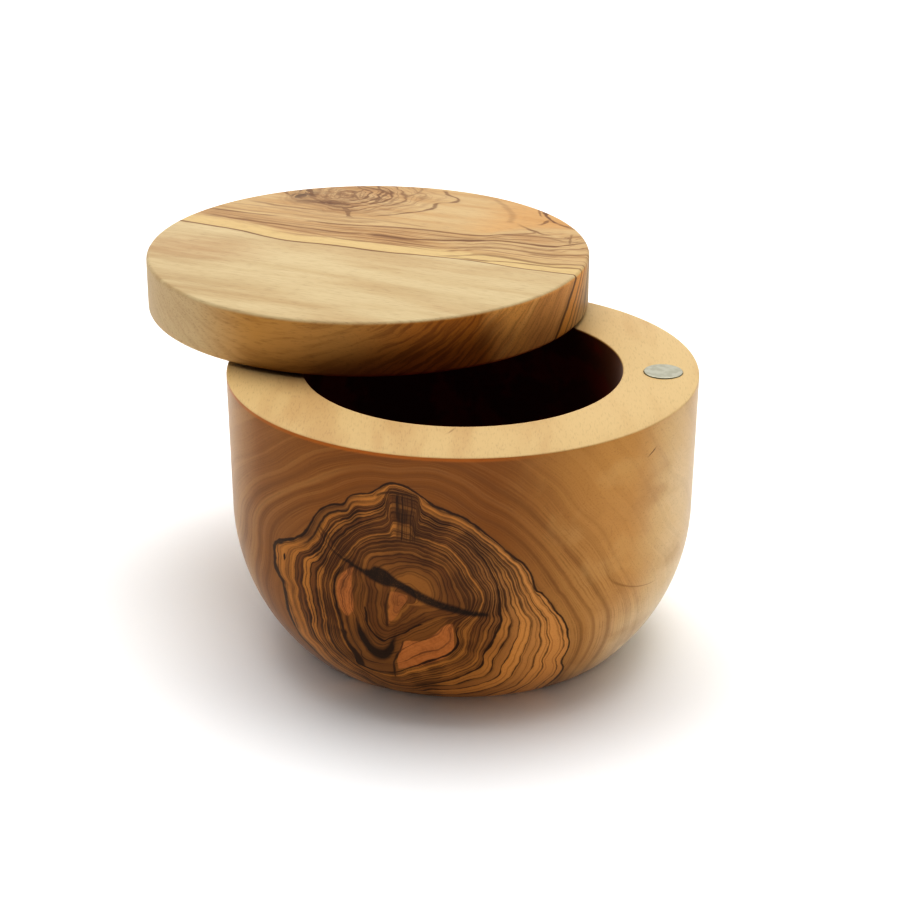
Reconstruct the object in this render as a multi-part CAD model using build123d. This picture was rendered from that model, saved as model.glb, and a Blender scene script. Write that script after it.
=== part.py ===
"""Salt box: a turned olive-wood bowl with a flat round lid that swings aside on a pin.

Frame: millimetres, origin on the table at the centre of the bowl's base, +Z up.
+X runs from the pin in the rim to the magnet opposite it. The lid is built shut and
then turned about the pin to its resting place, part way open.
"""

import os
from math import radians, tan

from build123d import *

# Bowl, turned from one block
RIM_D = 115.0  # across the outside of the rim
BOWL_H = 69.0  # table to rim
BELLY_H = 34.7  # height below which the side curves in to the foot
SIDE_TAPER = 0.8  # degrees that the upper side leans in on its way down
FOOT_D = 84.0  # flat foot, measured at its sharp corner
FOOT_EDGE_R = 2.5  # rounding of that corner
WALL = 18.5  # rim width, outside to bore
FLOOR = 12.0  # thickness under the cavity
CAVITY_EDGE_R = 14.0  # round corner between bore and floor
RIM_EDGE_R = 0.4  # sanded edges of the rim

# Lid, a flat board turned to the size of the rim
LID_T = 14.0  # thickness
LID_EDGE_R = 1.0  # rounding of its top and bottom edges

# Pivot: a plain pin pressed in the rim, with a washer that carries the lid
PIN_D = 6.0  # pin diameter
PIN_IN_BOWL = 20.0  # length pressed in the rim
PIN_IN_LID = 9.0  # length that runs in the lid
PIN_EDGE = 0.5  # chamfer at both ends
EDGE_INSET = 8.75  # pin and magnet axes, in from the outside of the rim
WASHER_D = 12.0  # outside diameter
WASHER_T = 0.75  # thickness

# Magnets: two equal discs that face each other when the lid is shut
MAGNET_D = 9.5  # diameter
MAGNET_T = 3.0  # thickness
MAGNET_EDGE_R = 0.25  # rounded edges of the plated disc
MAGNET_PROUD = 0.3  # rim magnet above the rim; the lid magnet is level with the wood

# Clearances
PIN_RUNNING = 0.05  # radial, pin in the lid
PIN_END = 0.5  # above the pin in its blind hole
WASHER_FIT = 0.15  # radial, washer on the pin
LID_PLAY = 0.05  # between washer and lid
SOCKET_FIT = 0.25  # radial, magnet in its glued socket

# Resting place
REST_SWING = 65.5  # degrees that the lid is turned open, shut being 0

# Places worked out from the sizes above
rim_r = RIM_D / 2
bore_r = rim_r - WALL
belly_r = rim_r - (BOWL_H - BELLY_H) * tan(radians(SIDE_TAPER))
circle_r = rim_r - EDGE_INSET
lid_z = BOWL_H + WASHER_T + LID_PLAY
magnet_z = BOWL_H + MAGNET_PROUD - MAGNET_T
pivot = Axis((-circle_r, 0, 0), (0, 0, 1))
same_place = 1e-3  # how closely an edge must agree to be the one meant


def disc(radius, bottom, height, x=0.0):
    """Upright cylinder standing on the level `bottom`, its axis at (x, 0)."""
    return Pos(x, 0, bottom) * Cylinder(radius, height, align=(Align.CENTER, Align.CENTER, Align.MIN))


def rounds(solid, radius, level):
    """Circular edges of the solid that have this radius and lie at this height."""
    edges = solid.edges().filter_by(GeomType.CIRCLE)
    at_level = [e for e in edges if abs(e.arc_center.Z - level) < same_place]
    return [e for e in at_level if abs(e.radius - radius) < same_place]


def make_bowl():
    """Lathe-turned body: leaning side, belly arc, flat foot, plain bore with a round corner."""
    side = Line((rim_r, BOWL_H), (belly_r, BELLY_H))
    belly = TangentArc((belly_r, BELLY_H), (FOOT_D / 2, 0), tangent=side % 1)
    foot = Polyline((FOOT_D / 2, 0), (0, 0), (0, FLOOR), (bore_r, FLOOR), (bore_r, BOWL_H), (rim_r, BOWL_H))
    profile = make_face(Plane.XZ * (side + belly + foot))
    body = revolve(profile, Axis.Z)
    body = fillet(rounds(body, bore_r, FLOOR), CAVITY_EDGE_R)
    body = fillet(rounds(body, FOOT_D / 2, 0), FOOT_EDGE_R)
    body = fillet(rounds(body, rim_r, BOWL_H) + rounds(body, bore_r, BOWL_H), RIM_EDGE_R)
    body -= disc(PIN_D / 2, BOWL_H - PIN_IN_BOWL, PIN_IN_BOWL, -circle_r)
    body -= disc(MAGNET_D / 2 + SOCKET_FIT, magnet_z, MAGNET_T, circle_r)
    return body


def make_lid():
    """Flat board with a blind hole for the pin and a socket for its magnet, both underneath."""
    board = disc(rim_r, lid_z, LID_T)
    board = fillet(rounds(board, rim_r, lid_z) + rounds(board, rim_r, lid_z + LID_T), LID_EDGE_R)
    board -= disc(PIN_D / 2 + PIN_RUNNING, lid_z, PIN_IN_LID + PIN_END, -circle_r)
    board -= disc(MAGNET_D / 2 + SOCKET_FIT, lid_z, MAGNET_T, circle_r)
    return board


def make_pin():
    """Plain steel pin from the bottom of its hole in the rim to the top of its run in the lid."""
    top = lid_z + PIN_IN_LID
    bottom = BOWL_H - PIN_IN_BOWL
    pin = disc(PIN_D / 2, bottom, top - bottom, -circle_r)
    return chamfer(rounds(pin, PIN_D / 2, bottom) + rounds(pin, PIN_D / 2, top), PIN_EDGE)


def make_washer():
    """Thin washer round the pin, lying on the rim."""
    ring = disc(WASHER_D / 2, BOWL_H, WASHER_T, -circle_r)
    return ring - disc(PIN_D / 2 + WASHER_FIT, BOWL_H, WASHER_T, -circle_r)


def make_magnet(bottom):
    """Plated disc magnet standing on the level `bottom`."""
    magnet = disc(MAGNET_D / 2, bottom, MAGNET_T, circle_r)
    edges = rounds(magnet, MAGNET_D / 2, bottom) + rounds(magnet, MAGNET_D / 2, bottom + MAGNET_T)
    return fillet(edges, MAGNET_EDGE_R)


def swung(piece):
    """A piece that turns with the lid, moved from shut to the resting place."""
    return piece.rotate(pivot, REST_SWING)


pieces = {
    "bowl": make_bowl(),
    "pivot_pin": make_pin(),
    "pivot_washer": make_washer(),
    "rim_magnet": make_magnet(magnet_z),
    "lid": swung(make_lid()),
    "lid_magnet": swung(make_magnet(lid_z)),
}

os.makedirs("parts", exist_ok=True)
for name, piece in pieces.items():
    piece.label = name
    export_step(piece, f"parts/{name}.step")
    box = piece.bounding_box()
    print(f"{name}: volume {piece.volume:.1f}, z {box.min.Z:.2f} to {box.max.Z:.2f}")
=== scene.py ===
"""Salt box in oiled olive wood: turned bowl, flat lid that swings on a pin, two disc magnets.

Metres, in the frame of the solids: origin on the table under the middle of the bowl,
+Z up, +X from the pin in the rim to the magnet opposite it.
"""

from math import atan2, cos, hypot, pi, radians, sin, tan

import bpy
from mathutils import Matrix, Vector


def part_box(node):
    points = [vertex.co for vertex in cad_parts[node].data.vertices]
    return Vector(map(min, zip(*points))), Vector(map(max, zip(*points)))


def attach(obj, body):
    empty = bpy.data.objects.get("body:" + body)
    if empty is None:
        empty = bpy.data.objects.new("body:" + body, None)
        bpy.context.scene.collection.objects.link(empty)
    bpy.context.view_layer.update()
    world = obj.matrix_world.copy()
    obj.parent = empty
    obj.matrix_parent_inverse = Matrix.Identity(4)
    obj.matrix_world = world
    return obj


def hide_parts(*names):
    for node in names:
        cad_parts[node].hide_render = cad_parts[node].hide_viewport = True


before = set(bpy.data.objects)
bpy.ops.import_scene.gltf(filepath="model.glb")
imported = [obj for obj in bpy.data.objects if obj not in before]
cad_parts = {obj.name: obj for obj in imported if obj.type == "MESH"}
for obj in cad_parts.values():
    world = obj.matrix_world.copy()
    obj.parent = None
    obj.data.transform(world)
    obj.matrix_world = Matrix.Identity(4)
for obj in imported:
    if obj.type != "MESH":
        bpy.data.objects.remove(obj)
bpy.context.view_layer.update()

MM = 0.001

# ---- Sizes, from the solids where they can be measured -------------------------------
bowl_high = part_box("bowl")[1]
lid_low, lid_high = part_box("lid")
magnet_low, magnet_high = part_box("rim_magnet")
lid_magnet_low, lid_magnet_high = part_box("lid_magnet")
pin_low, pin_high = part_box("pivot_pin")

RIM_R = 57.5 * MM  # outside of the rim, and of the lid
BELLY_H = 34.7 * MM  # below this the side curves in to the foot
SIDE_TAPER = radians(0.8)  # lean of the straight part
FOOT_R = 42 * MM  # flat foot at its sharp corner
FOOT_EDGE_R = 2.5 * MM
WALL = 18.5 * MM  # rim width
FLOOR = 12 * MM  # thickness under the cavity
CAVITY_EDGE_R = 14 * MM
RIM_EDGE_R = 0.4 * MM
LID_EDGE_R = 1.0 * MM
SOCKET_FIT = 0.07 * MM  # radial, round a magnet: glue and wood dust fill the rest of the hole
PIN_RUNNING = 0.05 * MM  # radial, round the pin in the lid
PIN_END = 0.5 * MM  # above the pin in its blind hole
PAST_MOUTH = 1 * MM  # how far a cutter stands out of its hole
WELD = 0.002 * MM  # points nearer than this become one
NEEDLE_R = 0.0001 * MM  # the circle that a section is swept round: next to nothing
LATHE_STEPS = 256
HOLE_STEPS = 64
SHARP_TURN = radians(35)  # an edge that turns more than this stays sharp

BOWL_H = bowl_high.z
BORE_R = RIM_R - WALL
MAGNET_R = (magnet_high.x - magnet_low.x) / 2
PIN_R = (pin_high.x - pin_low.x) / 2
pivot = Vector(((pin_low.x + pin_high.x) / 2, 0, 0))
magnet_at = (magnet_low + magnet_high) / 2
lid_magnet_at = (lid_magnet_low + lid_magnet_high) / 2
lid_at = (lid_low + lid_high) / 2


# ---- Helpers ---------------------------------------------------------------------------
def linear(code):
    """An sRGB hex colour as the linear RGBA that a node takes."""
    parts = [int(code[i : i + 2], 16) / 255 for i in (0, 2, 4)]
    return [c / 12.92 if c <= 0.04045 else ((c + 0.055) / 1.055) ** 2.4 for c in parts] + [1.0]


def add(tree, kind, links=None, **settings):
    """Adds a node; `links` gives each input, by name or number, a value or an output to join."""
    made = tree.nodes.new(kind)
    for name, value in settings.items():
        setattr(made, name, value)
    for key, value in (links or {}).items():
        if isinstance(value, bpy.types.Node):
            value = value.outputs[0]
        if isinstance(value, bpy.types.NodeSocket):
            tree.links.new(value, made.inputs[key])
        else:
            made.inputs[key].default_value = value
    return made


def arc(centre, radius, start, end, steps):
    """Points on an arc, angles in radians, both ends included."""
    turns = [start + (end - start) * i / steps for i in range(steps + 1)]
    return [(centre[0] + radius * cos(a), centre[1] + radius * sin(a)) for a in turns]


# ---- Profiles for the lathe ---------------------------------------------------------------
def bowl_profile():
    """Half section of the bowl, (radius, height), from the middle of the foot round to the bore."""
    side_r = RIM_R - (BOWL_H - BELLY_H) * tan(SIDE_TAPER)
    step_in = side_r - FOOT_R
    belly_r = (step_in**2 + BELLY_H**2) / (2 * (step_in * cos(SIDE_TAPER) - BELLY_H * sin(SIDE_TAPER)))
    centre = (side_r - belly_r * cos(SIDE_TAPER), BELLY_H + belly_r * sin(SIDE_TAPER))
    # The foot's rounding touches the table and the belly arc from inside.
    round_z = FOOT_EDGE_R
    reach = belly_r - FOOT_EDGE_R
    round_r = centre[0] + (reach**2 - (centre[1] - round_z) ** 2) ** 0.5
    landing = atan2(round_z - centre[1], round_r - centre[0])
    points = [(0, 0)]
    points += arc((round_r, round_z), FOOT_EDGE_R, -pi / 2, landing, steps=8)
    points += arc(centre, belly_r, landing, -SIDE_TAPER, steps=40)[1:]
    side_steps = 12
    top_r = RIM_R - RIM_EDGE_R * tan(SIDE_TAPER)
    top_z = BOWL_H - RIM_EDGE_R
    lean, rise = top_r - side_r, top_z - BELLY_H
    for i in range(1, side_steps):
        points.append((side_r + lean * i / side_steps, BELLY_H + rise * i / side_steps))
    points += arc((top_r - RIM_EDGE_R, top_z), RIM_EDGE_R, 0, pi / 2, steps=5)
    points += arc((BORE_R + RIM_EDGE_R, top_z), RIM_EDGE_R, pi / 2, pi, steps=5)
    inner = (BORE_R - CAVITY_EDGE_R, FLOOR + CAVITY_EDGE_R)
    points += arc(inner, CAVITY_EDGE_R, 0, -pi / 2, steps=16)
    points.append((0, FLOOR))
    return points


def lid_profile():
    """Half section of the lid, (radius, height), from the middle of its underside to its top."""
    low, high = lid_low.z, lid_high.z
    points = [(0, low)]
    points += arc((RIM_R - LID_EDGE_R, low + LID_EDGE_R), LID_EDGE_R, -pi / 2, 0, steps=6)
    points += arc((RIM_R - LID_EDGE_R, high - LID_EDGE_R), LID_EDGE_R, 0, pi / 2, steps=6)
    points.append((0, high))
    return points


def profile_curve(name, points):
    """The half section as a curve of straight runs, for the lathe tree to turn."""
    data = bpy.data.curves.new(name, "CURVE")
    data.dimensions = "3D"
    line = data.splines.new("POLY")
    line.points.add(len(points) - 1)
    for point, (r, z) in zip(line.points, points):
        point.co = (r, z, 0, 1)
    made = bpy.data.objects.new(name, data)
    bpy.context.scene.collection.objects.link(made)
    return made


# ---- Lathe tree ------------------------------------------------------------------------------
def lathe_tree():
    """Geometry Nodes that turn a half section about an upright axis and drill two holes in it."""
    tree = bpy.data.node_groups.new("lathe_and_drill", "GeometryNodeTree")
    face = tree.interface
    inputs = [
        ("Half Section", "NodeSocketObject"),
        ("Steps Round", "NodeSocketInt"),
        ("Axis Place", "NodeSocketVector"),
        ("Pin Hole Place", "NodeSocketVector"),
        ("Pin Hole Radius", "NodeSocketFloat"),
        ("Pin Hole Depth", "NodeSocketFloat"),
        ("Magnet Socket Place", "NodeSocketVector"),
        ("Magnet Socket Radius", "NodeSocketFloat"),
        ("Magnet Socket Depth", "NodeSocketFloat"),
        ("Hole Steps", "NodeSocketInt"),
        ("Sharp Above", "NodeSocketFloat"),
        ("Wood", "NodeSocketMaterial"),
    ]
    for label, kind in inputs:
        face.new_socket(label, in_out="INPUT", socket_type=kind)
    face.new_socket("Geometry", in_out="OUTPUT", socket_type="NodeSocketGeometry")
    given = add(tree, "NodeGroupInput").outputs
    section = add(tree, "GeometryNodeObjectInfo", {"Object": given["Half Section"]}).outputs["Geometry"]
    # The sweep lays a section's second coordinate downwards, so the section is turned over first.
    upright = add(tree, "GeometryNodeTransform", {"Geometry": section, "Scale": (1, -1, 1)})
    circle = {"Resolution": given["Steps Round"], "Radius": NEEDLE_R}
    ring = add(tree, "GeometryNodeCurvePrimitiveCircle", circle)
    turned = add(tree, "GeometryNodeCurveToMesh", {"Curve": ring, "Profile Curve": upright})
    joined = add(tree, "GeometryNodeMergeByDistance", {"Geometry": turned, "Distance": WELD})
    body = add(tree, "GeometryNodeTransform", {"Geometry": joined, "Translation": given["Axis Place"]})
    for hole in ("Pin Hole", "Magnet Socket"):
        size = {"Radius": given[hole + " Radius"], "Depth": given[hole + " Depth"]}
        drill = add(tree, "GeometryNodeMeshCylinder", {"Vertices": given["Hole Steps"], **size})
        sunk = add(tree, "GeometryNodeTransform", {"Geometry": drill, "Translation": given[hole + " Place"]})
        cut = {0: body, 1: sunk}
        body = add(tree, "GeometryNodeMeshBoolean", cut, operation="DIFFERENCE", solver="EXACT")
    angle = add(tree, "GeometryNodeInputMeshEdgeAngle").outputs["Unsigned Angle"]
    sharp = add(tree, "FunctionNodeCompare", {0: angle, 1: given["Sharp Above"]}, operation="GREATER_THAN")
    all_faces = {"Geometry": body, "Shade Smooth": True}
    smooth = add(tree, "GeometryNodeSetShadeSmooth", all_faces, domain="FACE")
    sharp_edges = {"Geometry": smooth, "Selection": sharp, "Shade Smooth": False}
    creased = add(tree, "GeometryNodeSetShadeSmooth", sharp_edges, domain="EDGE")
    real = add(tree, "GeometryNodeRealizeInstances", {"Geometry": creased})
    wood = add(tree, "GeometryNodeSetMaterial", {"Geometry": real, "Material": given["Wood"]})
    add(tree, "NodeGroupOutput", {"Geometry": wood})
    return tree


def turned_piece(name, points, place, pin_hole, socket, wood):
    """Runs the lathe tree on a half section and keeps the result as a plain mesh."""
    tree = lathe_tree()
    section = profile_curve(name + "_section", points)
    carrier = bpy.data.objects.new(name + "_blank", bpy.data.meshes.new(name + "_blank"))
    bpy.context.scene.collection.objects.link(carrier)
    modifier = carrier.modifiers.new("lathe", "NODES")
    modifier.node_group = tree
    values = {
        "Half Section": section,
        "Steps Round": LATHE_STEPS,
        "Axis Place": place,
        "Pin Hole Place": pin_hole["place"],
        "Pin Hole Radius": pin_hole["radius"],
        "Pin Hole Depth": pin_hole["depth"],
        "Magnet Socket Place": socket["place"],
        "Magnet Socket Radius": socket["radius"],
        "Magnet Socket Depth": socket["depth"],
        "Hole Steps": HOLE_STEPS,
        "Sharp Above": SHARP_TURN,
        "Wood": wood,
    }
    sockets = {item.name: item.identifier for item in tree.interface.items_tree if item.in_out == "INPUT"}
    for label, value in values.items():
        modifier[sockets[label]] = value
    graph = bpy.context.evaluated_depsgraph_get()
    mesh = bpy.data.meshes.new_from_object(carrier.evaluated_get(graph))
    carrier.modifiers.remove(modifier)
    bpy.data.objects.remove(carrier)
    bpy.data.objects.remove(section)
    bpy.data.node_groups.remove(tree)
    mesh.name = name
    piece = bpy.data.objects.new(name, mesh)
    bpy.context.scene.collection.objects.link(piece)
    return piece


def drilled(x, y, radius, mouth, bottom):
    """A hole for the lathe tree: its cutter runs from `bottom` to just past `mouth`."""
    top = mouth + (PAST_MOUTH if mouth > bottom else -PAST_MOUTH)
    return {"place": (x, y, (top + bottom) / 2), "radius": radius, "depth": abs(top - bottom)}


# ---- Materials -----------------------------------------------------------------------------------
MATH = "ShaderNodeMath"
VECTOR = "ShaderNodeVectorMath"
RANGE = "ShaderNodeMapRange"
MIX = "ShaderNodeMix"
NOISE = "ShaderNodeTexNoise"
CELLS = "ShaderNodeTexVoronoi"
FLOAT_A, FLOAT_B, COLOUR_A, COLOUR_B, COLOUR_OUT = 2, 3, 6, 7, 2  # sockets of a Mix node
WHOLE_TURN = (0.0, 1.0)
PITH_REACH = (0.0, 50.0)  # mm from a pith that a drawn line may lie at
THICKEST_LINE = 0.24  # half width, as a share of the gap to the next line
SHADE_REACH = 4  # how far the shade beside a line goes, in widths of the line


def begun(name):
    """A new material, its tree and its surface shader."""
    made = bpy.data.materials.new(name)
    made.use_nodes = True
    return made, made.node_tree, made.node_tree.nodes["Principled BSDF"]


def mask(tree, *parts):
    """Multiplies its parts. A part is a share, or (value, low, high, start, end) for a smooth step."""
    made = None
    for part in parts:
        if isinstance(part, tuple):
            value, low, high, *ends = part
            start, end = ends or (0.0, 1.0)
            ramp = {0: value, 1: low, 2: high, 3: start, 4: end}
            part = add(tree, RANGE, ramp, interpolation_type="SMOOTHSTEP").outputs[0]
        if made is not None:
            part = add(tree, MATH, {0: made, 1: part}, operation="MULTIPLY").outputs[0]
        made = part
    return made


def strongest(tree, *masks):
    """The greatest of several masks at each place."""
    made = masks[0]
    for other in masks[1:]:
        made = add(tree, MATH, {0: made, 1: other}, operation="MAXIMUM")
    return made


def coats(tree, below, *layers):
    """Lays stains over a colour in turn. Each is a colour and the parts of its mask."""
    for colour, *parts in layers:
        colour = linear(colour) if isinstance(colour, str) else colour
        links = {0: mask(tree, *parts), COLOUR_A: below, COLOUR_B: colour}
        below = add(tree, MIX, links, data_type="RGBA").outputs[COLOUR_OUT]
    return below


def millimetres(tree, centre, turn):
    """Object coordinates in millimetres from `centre`, turned about the upright axis by `turn`."""
    here = add(tree, "ShaderNodeTexCoord").outputs["Object"]
    moved = add(tree, VECTOR, {0: here, 1: centre}, operation="SUBTRACT")
    to_mm = (1 / MM, 1 / MM, 1 / MM)
    return add(tree, "ShaderNodeMapping", {"Vector": moved, "Rotation": (0, 0, turn), "Scale": to_mm})


def wandering(tree, place, fibre, steps):
    """Moves the place about by noise: each step is the size of its waves and how far it moves, in mm."""
    along = add(tree, VECTOR, {0: place, 1: fibre}, operation="MULTIPLY")
    for size, amount in steps:
        wave = add(tree, NOISE, {"Vector": along, "Scale": 1 / size, "Detail": 1.0})
        level = add(tree, VECTOR, {0: wave.outputs["Color"], 1: (0.5, 0.5, 0.5)}, operation="SUBTRACT")
        shift = add(tree, VECTOR, {0: level, "Scale": 2 * amount}, operation="SCALE")
        place = add(tree, VECTOR, {0: place, 1: shift}, operation="ADD")
    return place


def drawn_out(tree, place, fibre, size, detail):
    """Noise from 0 to 1 with waves of `size` mm, drawn out along the fibre."""
    stretched = add(tree, VECTOR, {0: place, 1: fibre}, operation="MULTIPLY")
    return add(tree, NOISE, {"Vector": stretched, "Scale": 1 / size, "Detail": detail}).outputs[0]


def out_from_axis(tree, place):
    """Distance in mm from the upright axis."""
    flat = add(tree, VECTOR, {0: place, 1: (1, 1, 0)}, operation="MULTIPLY")
    return add(tree, VECTOR, {0: flat}, operation="LENGTH").outputs["Value"]


def about_pith(tree, place, pith, upward="Z"):
    """Distance in mm from the pith and the share of a turn round it, from +X towards `upward`."""
    moved = add(tree, VECTOR, {0: place, 1: pith}, operation="SUBTRACT")
    off = add(tree, "ShaderNodeSeparateXYZ", {0: moved})
    across, up = off.outputs["X"], off.outputs[upward]
    flat = add(tree, "ShaderNodeCombineXYZ", {"X": across, "Y": up})
    radius = add(tree, VECTOR, {0: flat}, operation="LENGTH").outputs["Value"]
    angle = add(tree, MATH, {0: up, 1: across}, operation="ARCTAN2")
    share = add(tree, MATH, {0: angle, 1: 2 * pi}, operation="DIVIDE")
    return radius, add(tree, MATH, {0: share}, operation="FRACT")


def drawn(tree, value, points, across, up):
    """A smooth curve through (value, result) points, for values and results within two ranges."""
    share = add(tree, RANGE, {0: value, 1: across[0], 2: across[1]})
    curve = add(tree, "ShaderNodeFloatCurve", {"Value": share})
    line = curve.mapping.curves[0]
    while len(line.points) < len(points):
        line.points.new(0, 0)
    for knot, (at, result) in zip(line.points, points):
        knot.location = ((at - across[0]) / (across[1] - across[0]), (result - up[0]) / (up[1] - up[0]))
        knot.handle_type = "AUTO_CLAMPED"
    curve.mapping.update()
    return add(tree, MATH, {0: curve, 1: up[1] - up[0], 2: up[0]}, operation="MULTIPLY_ADD")


def round_pith(tree, turn, pith, points):
    """A closed line through (x, z) points in mm: its distance from the pith at a share of a turn."""
    off = [(x - pith[0], z - pith[2]) for x, z in points]
    polar = sorted((atan2(up, across) / (2 * pi) % 1, hypot(across, up)) for across, up in off)
    (first, start), (last, end) = polar[0], polar[-1]
    closing = end + (start - end) * (1 - last) / (1 - last + first)
    return drawn(tree, turn, [(0.0, closing), *polar, (1.0, closing)], WHOLE_TURN, PITH_REACH)


def how_far(tree, value, line):
    """Distance of a value from a line, to either side."""
    off = add(tree, MATH, {0: value, 1: line}, operation="SUBTRACT")
    return add(tree, MATH, {0: off}, operation="ABSOLUTE")


def stroke(tree, away, half, soft):
    """1 where `away`, the distance from a line, is less than `half`, falling to 0 over `soft`."""
    edge = add(tree, MATH, {0: half, 1: soft}, operation="ADD")
    return add(tree, RANGE, {0: away, 1: half, 2: edge, 3: 1.0, 4: 0.0})


def along_line(tree, radius, line, turn, weights, vary, soft):
    """A dark line along a closed line, with (degrees, half width in mm) round it."""
    half = drawn(tree, turn, [(at / 360, half) for at, half in weights], WHOLE_TURN, (0.0, 1.0))
    drawn_line = stroke(tree, how_far(tree, radius, line), mask(tree, half, vary), soft)
    return mask(tree, drawn_line, (half, 0.02, 0.08))


def rings(tree, value, guides, counts, inner=0.0):
    """Counts growth rings out through the guides, and gives the width of one ring in mm."""
    total, width = 0.0, 0.0
    for outer, count in zip(guides, counts):
        part = add(tree, RANGE, {0: value, 1: inner, 2: outer, 4: float(count)})
        total = add(tree, MATH, {0: total, 1: part}, operation="ADD")
        gap = add(tree, MATH, {0: outer, 1: inner}, operation="SUBTRACT")
        each = add(tree, MATH, {0: gap, 1: float(count)}, operation="DIVIDE")
        past = add(tree, MATH, {0: value, 1: inner}, operation="GREATER_THAN")
        width = add(tree, MIX, {0: past, FLOAT_A: width, FLOAT_B: each})
        inner = outer
    return total, width


def late_wood(tree, count, width, spacing, line, vary, seed, feather=1.9):
    """Dark lines at uneven steps of the ring count, `line` mm to each side, shaded on the pith side.

    Gives the lines, the shade beside them and a tone from 0 to 1 for the wood between two lines.
    """
    scaled = add(tree, MATH, {0: count, 1: 1 / spacing, 2: seed}, operation="MULTIPLY_ADD")
    row = {"W": scaled, "Scale": 1.0}
    edge = add(tree, CELLS, row, voronoi_dimensions="1D", feature="DISTANCE_TO_EDGE")
    cell = add(tree, CELLS, row, voronoi_dimensions="1D", feature="F1")
    each = add(tree, MATH, {0: width, 1: spacing}, operation="MULTIPLY")
    away = add(tree, MATH, {0: edge.outputs["Distance"], 1: each}, operation="MULTIPLY")
    thin = add(tree, MATH, {0: each, 1: THICKEST_LINE}, operation="MULTIPLY")
    half = add(tree, MATH, {0: thin, 1: mask(tree, vary, line)}, operation="MINIMUM")
    core, edge_end = mask(tree, half, 0.5), mask(tree, half, feather)
    sharp = add(tree, RANGE, {0: away, 1: core, 2: edge_end, 3: 1.0, 4: 0.0})
    inside = add(tree, MATH, {0: scaled, 1: cell.outputs["W"]}, operation="GREATER_THAN")
    shade = add(tree, RANGE, {0: away, 1: 0.0, 2: line * SHADE_REACH, 3: 1.0, 4: 0.0})
    tone = add(tree, "ShaderNodeSeparateColor", {0: cell.outputs["Color"]}).outputs["Red"]
    return sharp.outputs[0], mask(tree, inside, shade), tone


def window(tree, value, low, high, soft):
    """1 between low and high, falling to 0 over `soft` on both sides."""
    rise = add(tree, RANGE, {0: value, 1: low - soft, 2: low})
    return mask(tree, rise, add(tree, RANGE, {0: value, 1: high, 2: high + soft, 3: 1.0, 4: 0.0}))


def vein(tree, at, across, points, half, soft, fade=0.3):
    """A dark vein along (at, across) points in mm, `half` to each side."""
    span = (points[0][0], points[-1][0])
    reach = (min(p[1] for p in points) - 1, max(p[1] for p in points) + 1)
    line = stroke(tree, how_far(tree, across, drawn(tree, at, points, span, reach)), half, soft)
    return mask(tree, line, window(tree, at, span[0] + fade, span[1] - fade, fade))


def veins(tree, at, across, rows, vary, fade, soften=1.0, broken=1.0):
    """Veins from rows of (points, half width, soft edge, strength), each of uneven width."""
    made = []
    for points, half, edge, strength in rows:
        line = vein(tree, at, across, points, mask(tree, vary, half), soften * edge, fade)
        made.append(mask(tree, line, broken, strength))
    return made


def between(tree, at, across, low, high, soft):
    """The field between two lines of (at, across) points in mm, its edges soft to each side."""
    span = (low[0][0], low[-1][0])
    reach = (min(p[1] for p in low) - 1, max(p[1] for p in high) + 1)
    above = add(tree, MATH, {0: across, 1: drawn(tree, at, low, span, reach)}, operation="SUBTRACT")
    under = add(tree, MATH, {0: drawn(tree, at, high, span, reach), 1: across}, operation="SUBTRACT")
    inside = window(tree, at, span[0] + soft, span[1] - soft, soft)
    return mask(tree, (above, -soft, soft), (under, -soft, soft), inside)


def speck(tree, place, centre, size, lean, soft):
    """An oval patch at (x, z) in mm, of half sizes `size`, its long axis turned by `lean` degrees."""
    off = add(tree, VECTOR, {0: place, 1: (centre[0], 0, centre[1])}, operation="SUBTRACT")
    laid = add(tree, "ShaderNodeMapping", {"Vector": off, "Rotation": (0, radians(lean), 0)})
    scaled = add(tree, VECTOR, {0: laid, 1: (1 / size[0], 0, 1 / size[1])}, operation="MULTIPLY")
    reach = add(tree, VECTOR, {0: scaled}, operation="LENGTH").outputs["Value"]
    return mask(tree, (reach, 1 - soft, 1.0, 1.0, 0.0))


def laid_flat(tree, place):
    """The place with Y in the part of Z, for a patch on a level face."""
    part = add(tree, "ShaderNodeSeparateXYZ", {0: place})
    return add(tree, "ShaderNodeCombineXYZ", {"X": part.outputs["X"], "Z": part.outputs["Y"]})


def oiled(tree, shader, place, fibre, colour, pore_colour, amount, specular, sheen):
    """Open pores along the fibre, under rubbed-in oil that dries to a soft satin.

    Real pores are about 0.1 mm across: these are drawn three or four times as coarse, to show.
    """
    pores = drawn_out(tree, place, fibre, 1.0, 2.0)
    colour = coats(tree, colour, (pore_colour, (pores, 0.5, 0.8, 0.0, amount)))
    relief = add(tree, "ShaderNodeBump", {"Height": pores, "Strength": 0.25, "Distance": 0.03 * MM})
    tree.links.new(relief.outputs[0], shader.inputs["Normal"])
    tree.links.new(colour, shader.inputs["Base Color"])
    shader.inputs["Roughness"].default_value = 0.5
    shader.inputs["IOR"].default_value = 1.47
    shader.inputs["Specular IOR Level"].default_value = specular
    shader.inputs["Sheen Weight"].default_value = sheen
    shader.inputs["Sheen Roughness"].default_value = 0.3


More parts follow.
